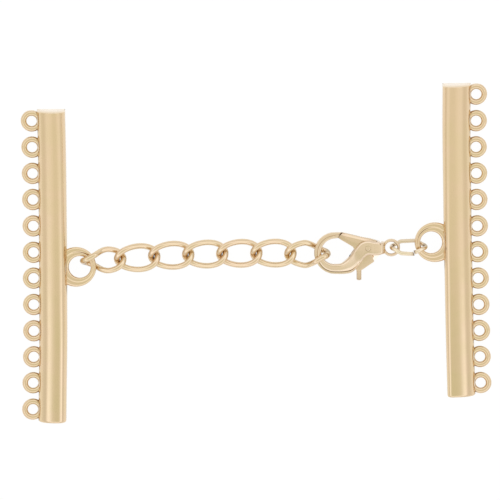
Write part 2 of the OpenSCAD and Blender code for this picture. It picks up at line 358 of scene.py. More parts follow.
def strand_loop_tree(material):
    """Sets a row of round wire loops along the bar's side and fuses them with the bar."""
    sizes = ["Pitch", "Reach", "Height", "Middle Radius", "Wire Radius", "Unevenness"]
    tree, given, result = new_tree("strand_loops", sizes, material)
    eye = add_node(tree, "GeometryNodeCurvePrimitiveCircle", resolution=60, radius=given["Middle Radius"])
    one = tube(tree, eye.outputs["Curve"], given["Wire Radius"], 22)
    start = add_node(tree, "ShaderNodeCombineXYZ", x=calc(tree, "MULTIPLY", given["Reach"], -1),
                     y=calc(tree, "MULTIPLY", given["Pitch"], -(strand_count - 1) / 2), z=given["Height"])
    step = add_node(tree, "ShaderNodeCombineXYZ", y=given["Pitch"])
    row = add_node(tree, "GeometryNodeMeshLine", count=strand_count, start_location=start.outputs[0],
                   offset=step.outputs[0])
    # Each loop is a little off its place, as cast wire loops are
    drift = add_node(tree, "FunctionNodeRandomValue", {"data_type": "FLOAT_VECTOR"}, min=(-0.2, -1, -0.6),
                     max=(1, 1, 0.6), seed=7)
    apart = add_node(tree, "ShaderNodeVectorMath", {"operation": "SCALE"}, vector=drift.outputs[0],
                     scale=given["Unevenness"])
    shift = add_node(tree, "GeometryNodeSetPosition", geometry=row.outputs["Mesh"], offset=apart.outputs[0])
    place = add_node(tree, "GeometryNodeInstanceOnPoints", points=shift.outputs[0], instance=one)
    loops = add_node(tree, "GeometryNodeRealizeInstances", geometry=place.outputs[0])
    fuse = add_node(tree, "GeometryNodeMeshBoolean", {"operation": "UNION", "solver": "EXACT"},
                    mesh=given["Geometry"], self_intersection=True)
    tree.links.new(loops.outputs[0], fuse.inputs["Mesh"])
    tree.links.new(fuse.outputs["Mesh"], result)
    return tree


def plate_surface_group():
    """Shared finish of the plated pieces: drifting tone, uneven polish, faint waves and fine scratches."""
    group = bpy.data.node_groups.new("plate_surface", "ShaderNodeTree")
    for side, kind, labels in (
            ("INPUT", "NodeSocketColor", ("Tone", "Drift Tone")),
            ("INPUT", "NodeSocketFloat", ("Drift Scale", "Wave Scale", "Wave Height", "Grain Height")),
            ("INPUT", "NodeSocketFloat", ("Polish", "Haze")),
            ("OUTPUT", "NodeSocketColor", ("Color",)),
            ("OUTPUT", "NodeSocketFloat", ("Roughness", "Height"))):
        for label in labels:
            group.interface.new_socket(label, in_out=side, socket_type=kind)
    given = group.nodes.new("NodeGroupInput").outputs
    made = group.nodes.new("NodeGroupOutput").inputs
    place = group.nodes.new("ShaderNodeTexCoord").outputs["Object"]

    def noise(scale, detail, roughness=0.5):
        return add_node(group, "ShaderNodeTexNoise", vector=place, scale=scale, detail=detail,
                        roughness=roughness).outputs["Fac"]

    drift = ease_between(group, noise(given["Drift Scale"], 2), 0.38, 0.62)
    polish = add_node(group, "ShaderNodeMapRange", value=noise(900, 4, 0.65), from_min=0.3, from_max=0.7,
                      to_min=given["Polish"], to_max=given["Haze"])
    waves = calc(group, "MULTIPLY", noise(given["Wave Scale"], 1), given["Wave Height"])
    scratches = calc(group, "MULTIPLY", noise(5200, 3, 0.6), given["Grain Height"])
    feed(group, made["Color"], mixed_color(group, drift, given["Tone"], given["Drift Tone"]))
    feed(group, made["Roughness"], polish.outputs[0])
    feed(group, made["Height"], calc(group, "ADD", waves, scratches))
    return group


plate_surface = plate_surface_group()
highlight_paint_tone = (0.86, 0.75, 0.60, 1)
darkening_tone = (0.16, 0.085, 0.03, 1)


def plate_material(name, **values):
    """A gold plated metal that wears the shared finish with its own values, with painted highlights and
    painted shade where a piece marks them.
    """
    material = bpy.data.materials.new(name)
    material.use_nodes = True
    tree = material.node_tree
    finish = add_node(tree, "ShaderNodeGroup", {"node_tree": plate_surface}, **values)
    # Painted highlight: the plate is painted pale on the faces that a piece marks, in place of bright
    # reflections
    highlight_share_node = add_node(tree, "ShaderNodeAttribute", {"attribute_name": "bright_face"})
    color = mixed_color(tree, highlight_share_node.outputs["Fac"], finish.outputs["Color"], highlight_paint_tone)
    # Painted shade: dark brown is laid into corners, creases and joints, with a little plain darkening
    # elsewhere, on pieces that mark them
    darkening = add_node(tree, "ShaderNodeAttribute", {"attribute_name": "corner_dirt"})
    color = mixed_color(tree, darkening.outputs["Fac"], color, darkening_tone)
    bump = add_node(tree, "ShaderNodeBump", distance=1, height=finish.outputs["Height"])
    shader = tree.nodes["Principled BSDF"].inputs
    feed(tree, shader["Metallic"], 1)
    feed(tree, shader["Base Color"], color)
    feed(tree, shader["Roughness"], finish.outputs["Roughness"])
    feed(tree, shader["Normal"], bump.outputs["Normal"])
    return material


def darken_near(piece, spots, reach):
    """Marks the points near given places, each with its own strength, for the painted shade and darkening in
    the material.
    """
    marks = piece.data.attributes.get("corner_dirt")
    if not marks:
        marks = piece.data.attributes.new("corner_dirt", "FLOAT", "POINT")
    tree = kdtree.KDTree(len(piece.data.vertices))
    for vert in piece.data.vertices:
        tree.insert(vert.co, vert.index)
    tree.balance()
    for place, strength in spots:
        for found, index, distance in tree.find_range(place, reach):
            near = 1 - distance / reach
            marks.data[index].value = max(marks.data[index].value, strength * near * near * (3 - 2 * near))


bar_gold = plate_material("bar_gold", tone=(0.735, 0.562, 0.365, 1), drift_tone=(0.72, 0.562, 0.35, 1),
                          drift_scale=260, wave_scale=420, wave_height=1.0e-5, grain_height=6e-8,
                          polish=0.07, haze=0.15)
loop_tree = strand_loop_tree(bar_gold)
random.seed(12)
for name, (place, turn, drop, inner_radii, eases, dressed, dark_at) in bars.items():
    shape = bar_shape(inner_radii, eases, dressed)
    ring, crease = bar_ring_shape(drop, dark_at)
    ring_mesh = bpy.data.meshes.new("ring")
    ring.to_mesh(ring_mesh)
    ring.free()
    shape.from_mesh(ring_mesh)
    bpy.data.meshes.remove(ring_mesh)
    bar = piece_from(name.replace("end_bar", "bar_casting"), shape, bar_gold)
    with_tree(bar, loop_tree, pitch=strand_pitch, reach=loop_reach, height=loop_height,
              middle_radius=loop_middle_radius, wire_radius=loop_wire_radius, unevenness=loop_unevenness)
    # Painted shade where each strand loop meets the bar, of random strength, a little weaker on one bar
    pinch = math.sqrt((loop_middle_radius + loop_wire_radius * 0.8) ** 2 - loop_reach ** 2)
    far_side = 1 if eases[1] is far_ease else -1
    corners = []
    for k in range(strand_count):
        for side in (-1, 1):
            y = (k - (strand_count - 1) / 2) * strand_pitch + side * pinch
            joint_shade = random.uniform(0.35, 1.0) * (0.8 if far_side < 0 else 1)
            corners.append((Vector((loop_side_at - 0.03, y, loop_height + 0.2)), joint_shade))
    darken_near(bar, corners, joint_shade_reach)
    darken_near(bar, crease, crease_shade_reach)
    # Painted highlight: the far end cap and a strip beside it are painted pale, stronger towards the end, in
    # place of the bright reflection there
    far_end = bar_length / 2 - dressed[far_side > 0]
    end_cap_highlight = bar.data.attributes.new("bright_face", "FLOAT", "POINT")
    for vert in bar.data.vertices:
        share = min(1, max(0, (vert.co.y * far_side - far_end + highlight_strip_length) / highlight_strip_length))
        strength = highlight_strip_strengths[0] + highlight_strip_strengths[1] * share
        end_cap_highlight.data[vert.index].value = strength if share > 0 else 0.0
    bar.data.transform(Matrix.Translation((*place, 0)) @ Matrix.Rotation(math.radians(turn), 4, "Z"))
    bends = between(bar_bends[name], 8)
    for vert in bar.data.vertices:
        vert.co.x += read_off(bends, vert.co.y)
    bar.data.transform(Matrix.Scale(MM, 4))
    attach(bar, "clasp_frame")
    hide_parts(name)

# Chain links. Seven curb links, each an oval of round brass wire, soldered shut, twisted so that the
# chain lies flat, and plated after the chain is made.
link_places = [(-23.05, -1.10, 2.7), (-17.94, -0.80, 2.9), (-12.83, -0.45, 2.2), (-7.71, -0.26, 1.7),
               (-2.59, -0.15, 1.6), (2.53, -0.11, 0.5), (7.65, -0.17, 1.1)]
link_wire_radius = 0.427
link_half_length = 3.06
link_half_width = 1.775
first_link_narrowing = 0.925
link_twist = 0.235
link_end_swell = 0.08
# Gain of twist, pinch and bulge of a plain end, of the end in the ring and of the end in the hook
plain_end = (1.0, 0.0, 1.0)
ring_end = (1.81, 0.59, 1.24)
hook_end = (1.72, 0.73, 1.24)
chain_height = 1.12
chain_height_at_ring = 1.6
clasp_height = 1.6
# Where along a link its squeeze, gain, bulge and flatness change, at its left and at its right end
squeeze_runs = ((-3.0, 1.0), (-0.6, 2.85))
gain_runs = ((-1.2, 0.0), (0.0, 1.2))
bulge_runs = ((-1.9, -1.15), (1.15, 1.9))
flat_runs = ((-0.9, 0.4), (-0.4, 0.9))
# Where the chain climbs to the bar's ring and to the clasp
ring_climb = (-23, -15)
clasp_climb = (2, 9)
# Where each link bears on the next, the first on the ring and the last on the hook, and the reach of the
# painted shade there
chain_joints = [(-25.35, -1.75, 1.5)]
chain_joints += [((a[0] + b[0]) / 2, (a[1] + b[1]) / 2, chain_height)
                 for a, b in zip(link_places, link_places[1:])]
chain_joints += [(10.07, 0.2, 1.6), (10.3, 0.45, 2.0), (11.2, -0.2, 1.9)]
chain_shade_reach = 0.48


def curb_link_tree(material):
    """Bends a circle into a curb link where it lies in the chain, and sweeps the wire along it."""
    sizes = ["Place X", "Place Y", "Turn", "Half Length", "Half Width", "Twist", "Left Gain", "Right Gain",
             "Left Pinch", "Right Pinch", "Left Bulge", "Right Bulge", "Chain Height", "Ring Height",
             "Clasp Height", "Wire Radius", "End Swell"]
    tree, given, result = new_tree("curb_link", sizes, material)

    def do(operation, *terms):
        return calc(tree, operation, *terms)

    def change(value, run, before, after):
        return ease_between(tree, value, run[0] * MM, run[1] * MM, before, after)

    rim = add_node(tree, "GeometryNodeCurvePrimitiveCircle", resolution=96, radius=1)
    position = tree.nodes.new("GeometryNodeInputPosition").outputs[0]
    split = add_node(tree, "ShaderNodeSeparateXYZ", vector=position).outputs
    along = do("MULTIPLY", split["X"], given["Half Length"])
    across = do("MULTIPLY", split["Y"], given["Half Width"])
    # The first and the last link are squeezed narrow where they hold the ring and the hook
    left_width = change(along, squeeze_runs[0], do("SUBTRACT", 1, given["Left Pinch"]), 1.0)
    right_width = change(along, squeeze_runs[1], 1.0, do("SUBTRACT", 1, given["Right Pinch"]))
    pinched = do("MULTIPLY", across, do("MULTIPLY", left_width, right_width))
    cosine = do("COSINE", given["Turn"])
    sine = do("SINE", given["Turn"])
    turned_x = do("SUBTRACT", do("MULTIPLY", along, cosine), do("MULTIPLY", pinched, sine))
    turned_y = do("ADD", do("MULTIPLY", along, sine), do("MULTIPLY", pinched, cosine))
    x = do("ADD", given["Place X"], turned_x)
    y = do("ADD", given["Place Y"], turned_y)
    # The chain climbs to the bar's ring on the left and to the clasp on the right
    to_ring = change(x, ring_climb, do("SUBTRACT", given["Ring Height"], given["Chain Height"]), 0.0)
    to_clasp = change(x, clasp_climb, 0.0, do("SUBTRACT", given["Clasp Height"], given["Chain Height"]))
    middle = do("ADD", given["Chain Height"], do("ADD", to_ring, to_clasp))
    left_gain = change(along, gain_runs[0], given["Left Gain"], 1.0)
    right_gain = change(along, gain_runs[1], 1.0, given["Right Gain"])
    # A pinched end's strands stand further apart, above and below what they pass over
    left_bulge = change(along, bulge_runs[0], 1.0, given["Left Bulge"])
    left_flat = change(along, flat_runs[0], 1.0, do("DIVIDE", 1, given["Left Bulge"]))
    right_bulge = change(along, bulge_runs[1], given["Right Bulge"], 1.0)
    right_flat = change(along, flat_runs[1], do("DIVIDE", 1, given["Right Bulge"]), 1.0)
    bulge = do("MULTIPLY", do("MULTIPLY", left_bulge, left_flat), do("MULTIPLY", right_bulge, right_flat))
    gain = do("MULTIPLY", do("MULTIPLY", left_gain, right_gain), do("MULTIPLY", bulge, given["Twist"]))
    lift = do("MULTIPLY", gain, do("MULTIPLY", along, across))
    point = add_node(tree, "ShaderNodeCombineXYZ", x=x, y=y, z=do("SUBTRACT", middle, lift))
    bend = add_node(tree, "GeometryNodeSetPosition", geometry=rim.outputs["Curve"],
                    position=point.outputs[0])
    upright = add_node(tree, "GeometryNodeSetCurveNormal", {"mode": "Z_UP"}, curve=bend.outputs[0])
    # Bending spreads the wire a little at the link's two ends
    way_round = tree.nodes.new("GeometryNodeSplineParameter").outputs["Factor"]
    level = do("COSINE", do("MULTIPLY", way_round, 2 * math.pi))
    end_share = do("POWER", do("MULTIPLY", level, level), 3)
    swell = do("ADD", do("MULTIPLY", end_share, given["End Swell"]), 1)
    feed(tree, result, tube(tree, upright.outputs[0], given["Wire Radius"], 24, swell))
    return tree


link_gold = plate_material("link_gold", tone=(0.75, 0.575, 0.385, 1), drift_tone=(0.73, 0.575, 0.37, 1),
                           drift_scale=300, wave_scale=900, wave_height=5e-6, grain_height=5e-8,
                           polish=0.05, haze=0.12)
link_tree = curb_link_tree(link_gold)
for number, (x, y, turn) in enumerate(link_places, 1):
    left_end = ring_end if number == 1 else plain_end
    right_end = hook_end if number == len(link_places) else plain_end
    narrowing = first_link_narrowing if number == 1 else 1.0
    link = piece_from(f"curb_link_{number}", bmesh.new(), link_gold)
    with_tree(link, link_tree, place_x=x * MM, place_y=y * MM, turn=math.radians(turn),
              half_length=link_half_length * MM, half_width=link_half_width * narrowing * MM,
              twist=link_twist / narrowing / MM, left_gain=left_end[0], right_gain=right_end[0],
              left_pinch=left_end[1], right_pinch=right_end[1], left_bulge=left_end[2],
              right_bulge=right_end[2], chain_height=chain_height * MM,
              ring_height=chain_height_at_ring * MM, clasp_height=clasp_height * MM,
              wire_radius=link_wire_radius * MM, end_swell=link_end_swell)
    # Painted shade where the links bear on each other, on the ring and in the hook
    darken_near(link, [(Vector(spot) * MM, 0.9) for spot in chain_joints], chain_shade_reach * MM)
    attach(link, "clasp_frame")
    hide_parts(f"chain_link_{number}")

# Jump ring. An oval of thinner brass wire, cut once and bent shut by hand, so a fine slanted cut shows
# on its front strand. It leans between the clasp's eye and the right bar's ring.
jump_place = Vector((22.87, 0.90, 1.52))
jump_lean = math.radians(52)
jump_tip = math.radians(3)
jump_turn = math.radians(4)
jump_wire_radius = 0.3
jump_bend_radius = 1.45
jump_straight = 2.27
jump_cut_at = 0.75
jump_cut = 0.04
jump_cut_slant = 0.12
jump_spring = 0.26
jump_pinch = 0.7


def wire_shape(path, radius, sides, plane, end_slant):
    """A round wire along a path that lies about a plane, its two ends cut on a slant."""
    rings = []
    for k, point in enumerate(path):
        along = (path[min(k + 1, len(path) - 1)] - path[max(k - 1, 0)]).normalized()
        side = along.cross(plane).normalized()
        above = side.cross(along)
        slanted = along * (end_slant if k in (0, len(path) - 1) else 0)
        rings.append([point + (side * math.cos(a) + above * math.sin(a) + slanted * math.cos(a)) * radius
                      for a in turns(sides)])
    return skin(rings)


jump_path = [Vector((jump_cut_at + jump_cut / 2 + s, -jump_bend_radius, 0)) for s in (0, 0.06, 0.16)]
jump_path += [Vector((*p, 0)) for p in arc((jump_straight / 2, 0), jump_bend_radius, -90, 90, 32)]
jump_path += [Vector((*p, 0)) for p in arc((-jump_straight / 2, 0), jump_bend_radius, 90, 270, 32)]
jump_path += [Vector((jump_cut_at - jump_cut / 2 - s, -jump_bend_radius, 0)) for s in (0.5, 0.16, 0.06, 0)]
# One end has sprung up out of the ring's plane where it was cut
sprung_points = 36
for k in range(sprung_points):
    share = 1 - k / sprung_points
    jump_path[k].z += jump_spring * share * share * (3 - 2 * share)
lean = Matrix.Rotation(-jump_tip, 4, "Y") @ Matrix.Rotation(-jump_lean, 4, "X")
lean = lean @ Matrix.Rotation(jump_turn, 4, "Z")
jump_path = [lean @ point for point in jump_path]
# Both ends are squeezed narrow
for point in jump_path:
    share = min(1, max(0, (abs(point.x) - 0.5) / 1.9))
    point.y *= 1 - jump_pinch * share * share * (3 - 2 * share)
jump_gold = plate_material("jump_ring_gold", tone=(0.81, 0.67, 0.49, 1), drift_tone=(0.79, 0.67, 0.47, 1),
                           drift_scale=400, wave_scale=1200, wave_height=3e-6, grain_height=5e-8,
                           polish=0.05, haze=0.12)
wire = wire_shape([jump_place + point for point in jump_path], jump_wire_radius, 24,
                  lean @ Vector((0, 0, 1)), jump_cut_slant)
jump = piece_from("oval_jump_ring", wire, jump_gold)
cut_line = [jump_place + end + lean @ Vector((0, math.cos(a), math.sin(a))) * jump_wire_radius
            for end in (jump_path[0], jump_path[-1]) for a in turns(16)]
# Painted shade and its reach: in the cut, inside the two bends, on the bend in the eye; and a faint
# darkening along the upper strand
jump_darkening = [([(spot, 1.0) for spot in cut_line], 0.26),
             ([(Vector((20.85, 0.87, 1.5)), 1.0), (Vector((24.95, 1.05, 1.5)), 1.0)], 0.72),
             ([(Vector((20.6, 1.15, z)), 1.0) for z in (1.3, 1.9)], 0.55),
             ([(jump_place + point, 0.2) for point in jump_path if point.y > 0.6], 1.0)]
for spots, reach in jump_darkening:
    darken_near(jump, spots, reach)
jump.data.transform(Matrix.Scale(MM, 4))
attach(jump, "clasp_frame")
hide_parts("jump_ring")

# Clasp body. One zinc casting: a hook, an arm that sweeps up into two flat cheeks with a slot between
# them, a neck and an eye. Its edges are rounded by polishing. A crease runs all along the hook, deepest
# at its foot, and fades out on the arm.
hook_centre = Vector((11.87, 0))
hook_half_height = 0.52
# Angle round the hook, its inner radius and its outer radius
hook_radii = [(102, 2.24, 3.18), (125, 2.22, 3.2), (150, 2.2, 3.22), (180, 2.12, 3.22), (205, 1.98, 3.2),
              (225, 1.86, 3.2), (245, 1.76, 3.2), (262, 1.69, 3.2), (275, 1.66, 3.2)]
hook_last_angle = 262
hook_step = 10
hook_tip = ((12.34, 2.31), (12.97, 3.13))
# Angle and radius of the points that the tip's inner and outer edges bend towards
hook_bend = ((90, 2.26), (86, 3.2))
# The gate's end laps over the hook's tip: how far the joint between them slants from top to bottom
lap_direction = Vector((-0.793, 0.609, 0))
lap_slope = 0.5
slot_half_height = 0.58
pivot = Vector((16.76, 0.88))
pin_radius = 0.4
eye_centre = Vector((20.245, 0.823))
eye_radius = 1.12
eye_half_width = 0.22
eye_half_height = 0.34
eye_squareness = 2.4
# Room between the pin and its holes in the cheeks and in the lever
cheek_room = 0.02
lever_room = 0.05
# Height of the crease's floor along the hook, as a share of the section's half height
hook_crease_floor = 0.68
# The first sections of the hook's tip, over which the lap's slant runs out
lap_sections = 5
# One row for each section from the hook's foot to the neck: inner edge X and Y, outer edge X and Y,
# half height, how far across the crease lies and how deep it is. The cheeks and the neck have none
strap_sections = [
    (12.55, -1.62, 12.62, -3.20, 0.58, 0.74, 1.0), (13.14, -1.28, 13.45, -3.16, 0.70, 0.76, 1.0),
    (13.68, -0.76, 14.25, -3.00, 0.86, 0.79, 1.0), (14.10, -0.24, 14.95, -2.45, 1.02, 0.83, 0.8),
    (14.45, 0.24, 15.45, -1.75, 1.16, 0.86, 0.4), (14.74, 0.64, 15.85, -1.15, 1.23, 0.88, 0.1)]
strap_sections += [(*row, 0.90, 0.0) for row in (
    (15.12, 1.12, 16.20, -0.62, 1.25), (15.58, 1.62, 16.56, -0.28, 1.25), (16.20, 1.92, 16.92, -0.14, 1.25),
    (16.85, 1.98, 17.20, -0.16, 1.25), (17.25, 1.94, 17.42, -0.20, 1.24), (17.55, 1.88, 17.62, -0.24, 1.21),
    (17.85, 1.82, 17.88, -0.25, 1.18), (18.30, 1.76, 18.32, -0.22, 1.12), (18.52, 1.72, 18.54, -0.18, 1.08),
    (18.64, 1.46, 18.66, -0.14, 1.06), (18.80, 1.68, 18.80, -0.10, 1.01), (19.05, 1.69, 19.04, -0.04, 0.86),
    (19.30, 1.70, 19.28, 0.02, 0.62))]


def direction(angle):
    """The direction in the plan at an angle in degrees."""
    return Vector((math.cos(math.radians(angle)), math.sin(math.radians(angle))))


def hook_sections():
    """The hook's own sections, from its slanted tip round to its foot."""
    tip_inner, tip_outer = Vector(hook_tip[0]), Vector(hook_tip[1])
    start, inner_radius, outer_radius = hook_radii[0]
    root_inner = hook_centre + inner_radius * direction(start)
    root_outer = hook_centre + outer_radius * direction(start)
    middle_inner, middle_outer = [hook_centre + radius * direction(angle) for angle, radius in hook_bend]
    for k in range(6):
        t = k / 6
        inner = tip_inner * (1 - t) ** 2 + middle_inner * 2 * t * (1 - t) + root_inner * t * t
        outer = tip_outer * (1 - t) ** 2 + middle_outer * 2 * t * (1 - t) + root_outer * t * t
        yield (*inner, *outer, hook_half_height, 0.66 - 0.16 * t, 0.75)
    radii = between(hook_radii, 4)
    for angle in range(start, hook_last_angle + 1, hook_step):
        inner = hook_centre + read_off([(r[0], r[1]) for r in radii], angle) * direction(angle)
        outer = hook_centre + read_off([(r[0], r[2]) for r in radii], angle) * direction(angle)
        across = 0.5 + 0.24 * min(1, max(0, (angle - 170) / 60))
        yield (*inner, *outer, hook_half_height, across, 0.75 + 0.25 * min(1, max(0, (angle - 190) / 40)))


def creased_marks(crease_at):
    """Heights across the hook: a domed face, a bright bevel, the crease, and a lower outer band."""
    f = crease_at
    return [(0, 0), (0.008, 0.4), (0.03, 0.70), (0.08, 0.87), (0.16, 0.96), (0.26, 1.0), (f - 0.21, 1.0),
            (f - 0.19, 0.99), (f - 0.03, 0.86), (f - 0.015, 0.80), (f, hook_crease_floor), (f + 0.02, 0.71),
            (f + 0.045, 0.76), (0.91, 0.74), (0.95, 0.62), (0.985, 0.35), (1, 0)]


# Heights across the flat cheeks: walls, a bevel along each edge and a flat top
cheek_marks = [(0, 0), (0.002, 0.45), (0.008, 0.80), (0.02, 0.885), (0.03, 0.90), (0.115, 0.99),
               (0.135, 1.0), (0.5, 1.005), (0.845, 1.0), (0.87, 0.99), (0.965, 0.91), (0.975, 0.90),
               (0.985, 0.87), (0.993, 0.80), (0.998, 0.45), (1, 0)]


def strap_marks(crease_at, depth):
    """Heights across one section of the clasp body, between the cheek's and the creased hook's."""
    creased = creased_marks(crease_at)
    places = sorted([u for u, h in creased[1:-1]] + [u for u, h in cheek_marks[1:-1]])
    return [(u, read_off(creased, u) * depth + read_off(cheek_marks, u) * (1 - depth))
            for u in [0, *places, 1]]


def eye_section(ray):
    """Points round the eye's strip on one side of its centre: an oval with fuller corners."""
    inner = eye_centre + (eye_radius - eye_half_width) * ray
    outer = eye_centre + (eye_radius + eye_half_width) * ray
    section = []
    for a in turns(28):
        across = math.copysign(abs(math.cos(a)) ** (2 / eye_squareness), math.cos(a))
        high = math.copysign(abs(math.sin(a)) ** (2 / eye_squareness), math.sin(a))
        plan = (inner + outer) / 2 + (outer - inner) / 2 * across
        section.append(Vector((plan.x, plan.y, clasp_height + eye_half_height * high)))
    return section


def prism(points, low, high):
    """An upright block over a plan outline."""
    return skin([[Vector((x, y, z)) for x, y in points] for z in (low, high)])


def cut_or_join(piece, shape, operation):
    """Cuts a shape out of a piece, or fuses it on, and keeps the plain result."""
    other = piece_from("tool", shape, piece.data.materials[0])
    step = piece.modifiers.new("shape", "BOOLEAN")
    step.operation = operation
    step.solver = "EXACT"
    step.object = other
    bake(piece, 32)
    bpy.data.objects.remove(other)


def drill(piece, radius):
    """Cuts the round hole that the pin goes through."""
    hole = [(pivot.x + radius * math.cos(a), pivot.y + radius * math.sin(a)) for a in turns(48)]
    cut_or_join(piece, prism(hole, clasp_height - 2, clasp_height + 2), "DIFFERENCE")


clasp_gold = plate_material("clasp_gold", tone=(0.76, 0.605, 0.425, 1), drift_tone=(0.75, 0.59, 0.42, 1),
                            drift_scale=420, wave_scale=700, wave_height=6e-6, grain_height=6e-8,
                            polish=0.07, haze=0.15)
rows = between(list(hook_sections()) + strap_sections, 5)
lap = lap_direction * lap_slope
rings = []
crease = []
for k, (x0, y0, x1, y1, half_height, crease_at, depth) in enumerate(rows):
    inner, outer = Vector((x0, y0)), Vector((x1, y1))
    ring = marked_ring(inner, outer, clasp_height, half_height, strap_marks(crease_at, depth))
    if k < lap_sections:
        ring = [point + lap * (point.z - clasp_height) * (1 - k / lap_sections) for point in ring]
    rings.append(ring)
    # Painted shade along the hook's crease, strongest where the crease is deepest
    spot = Vector((*inner.lerp(outer, crease_at), clasp_height + half_height * hook_crease_floor))
    crease.append((spot, depth * depth if depth > 0.5 else 0))
body = piece_from("clasp_casting", skin(rings), clasp_gold, 32)
slot_plan = [(13.00, 3.60), (18.15, 3.60), (18.15, -0.25), (19.50, -0.35), (19.50, -4.60),
             (14.88, -4.60), (14.66, -2.30), (14.50, -1.05), (13.93, -0.44), (13.00, 0.10)]
slot = prism(slot_plan, clasp_height - slot_half_height, clasp_height + slot_half_height)
cut_or_join(body, slot, "DIFFERENCE")
eye = [eye_section(Vector((math.cos(a), math.sin(a)))) for a in turns(64)]
cut_or_join(body, skin(eye, closed=True), "UNION")
drill(body, pin_radius + cheek_room)
# A corner of the lower cheek reaches out from under the lever, below the neck
web_plan = [(17.0, 0.15), (18.66, -0.12), (18.60, -0.33), (17.86, -1.27), (17.50, -1.20), (17.05, -0.25)]
web_low = 0.42


def web_top(y):
    """Height of the corner's sloping face."""
    return 0.98 + 0.36 * (y + 0.1)


web = [[Vector((x, y, web_low)) for x, y in web_plan], [Vector((x, y, web_top(y))) for x, y in web_plan]]
cut_or_join(body, skin(web), "UNION")
# Painted highlight: the corner's sloping face is painted pale all over, in place of a bright reflection
corner_face_highlight = body.data.attributes.new("bright_face", "FLOAT", "POINT")
for vert in body.data.vertices:
    on_face = abs(vert.co.z - web_top(vert.co.y)) < 0.004
    corner_face_highlight.data[vert.index].value = 1.0 if on_face and vert.co.x > 16.9 and vert.co.y < 0.2 else 0.0


def lap_shade(start, end):
    """Painted shade along the joint between the hook's tip and the gate, from one plan point to another."""
    line = [Vector(start).lerp(Vector(end), k / 6) for k in range(7)]
    return [(Vector((p.x, p.y, clasp_height + 0.4)) + lap_direction * 0.2, 1.0) for p in line]


# Painted shade and its reach: in the crease, by the neck and inside the hook's back, along the lap, and in
# the eye, at its root and opposite
body_shade_spots = [(crease, 0.1),
             ([(Vector((18.64, 1.5, 2.2)), 1.0), (Vector((10.0, -0.1, 1.6)), 0.8)], 0.3),
             (lap_shade(*hook_tip), 0.17),
             ([(Vector((19.28, 0.55, 1.6)), 0.7), (Vector((21.2, 1.0, 1.6)), 0.9)], 0.42)]
for spots, reach in body_shade_spots:
    darken_near(body, spots, reach)
body.data.transform(Matrix.Scale(MM, 4))
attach(body, "clasp_frame")
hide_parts("clasp_body")

# Trigger. A stamped and polished lever between the cheeks: the gate that shuts the hook, with a
# bevelled strip along its back, the flat thumb lever and a round peg to pull it by.
trigger_half_height = 0.51
peg_at = 15.41
trigger_gold = plate_material("trigger_gold", tone=(0.73, 0.56, 0.385, 1),
                              drift_tone=(0.715, 0.56, 0.375, 1), drift_scale=420, wave_scale=600,
                              wave_height=6e-6, grain_height=6e-8, polish=0.07, haze=0.15)
back_edge = [(18.08, 1.92), (17.06, 2.22), (15.80, 2.44), (14.60, 2.74), (13.60, 2.99), (13.05, 3.11)]
ridge = [(17.70, 1.72), (17.00, 1.80), (15.80, 2.00), (14.60, 2.28), (13.60, 2.52), (12.81, 2.67)]
face_edge = [(12.42, 2.25), (12.87, 1.96), (13.80, 1.42), (14.45, 1.02), (14.68, 0.62), (14.44, 0.14),
             (14.08, -0.34), (14.70, -1.00), (14.80, -1.60), (14.86, -2.20), (15.04, -2.75), (15.78, -2.57),
             (17.69, -1.25), (17.30, -0.25), (17.98, 0.60)]
lapping = (back_edge[-1], ridge[-1], face_edge[0])
strip_drop = 0.24
shape = bmesh.new()
layers = {}
for side in (1, -1):
    z = clasp_height + side * trigger_half_height
    low = clasp_height + side * (trigger_half_height - strip_drop)
    layers[side] = []
    for line, height in ((back_edge, low), (ridge, z), (face_edge, z)):
        slant = lap * (height - clasp_height)
        layers[side].append([shape.verts.new(Vector((*p, height)) + slant * (p in lapping)) for p in line])
    back, crest, face = layers[side]
    shape.faces.new(crest + face)
    for k in range(len(back) - 1):
        shape.faces.new((back[k], back[k + 1], crest[k + 1], crest[k]))
    shape.faces.new((back[-1], face[0], crest[-1]))
    shape.faces.new((back[0], crest[0], face[-1]))
top, under = layers[1], layers[-1]
outline_top = top[0] + top[2]
outline_under = under[0] + under[2]
for k in range(len(outline_top)):
    n = (k + 1) % len(outline_top)
    shape.faces.new((outline_top[k], outline_top[n], outline_under[n], outline_under[k]))
trigger = piece_from("clasp_lever", shape, trigger_gold, 32)
eased = trigger.modifiers.new("eased_edges", "BEVEL")
eased.width = 0.07
eased.segments = 3
eased.limit_method = "ANGLE"
eased.angle_limit = math.radians(14)
bake(trigger, 50)
peg_path = [(0.37, -2.3), (0.37, -3.95)] + list(arc((0.15, -3.91), 0.22, 0, -90, 6))
peg = [[Vector((peg_at + r * math.cos(a), y, clasp_height + r * math.sin(a))) for a in turns(28)]
       for r, y in peg_path]
cut_or_join(trigger, skin(peg), "UNION")
drill(trigger, pin_radius + lever_room)
# The peg is painted a little darker, and painted shade lies along the joint where the gate laps over the
# hook's tip
darken_near(trigger, [(Vector((peg_at, y, clasp_height)), 0.35) for y in (-3.1, -3.5, -3.9)], 0.75)
darken_near(trigger, lap_shade(face_edge[0], back_edge[-1]), 0.17)
trigger.data.transform(Matrix.Scale(MM, 4))
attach(trigger, "trigger")
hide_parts("clasp_trigger")

# Rivet pin. A short round pin through both cheeks, its ends pressed into low domes and polished over.
pin_half_length = 1.22
pin_dome = 0.05
dome_radii = (0.02, 0.12, 0.22, 0.30, 0.36, pin_radius)
rings = []
for end, radii in ((-1, dome_radii), (1, dome_radii[::-1])):
    for r in radii:
        height = clasp_height + end * (pin_half_length - pin_dome * (r / pin_radius) ** 2)
        rings.append([Vector((pivot.x + r * math.cos(a), pivot.y + r * math.sin(a), height))
                      for a in turns(40)])
pin = piece_from("rivet_pin", skin(rings), clasp_gold, 50)
pin.data.transform(Matrix.Scale(MM, 4))
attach(pin, "clasp_frame")
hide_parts("clasp_pin")

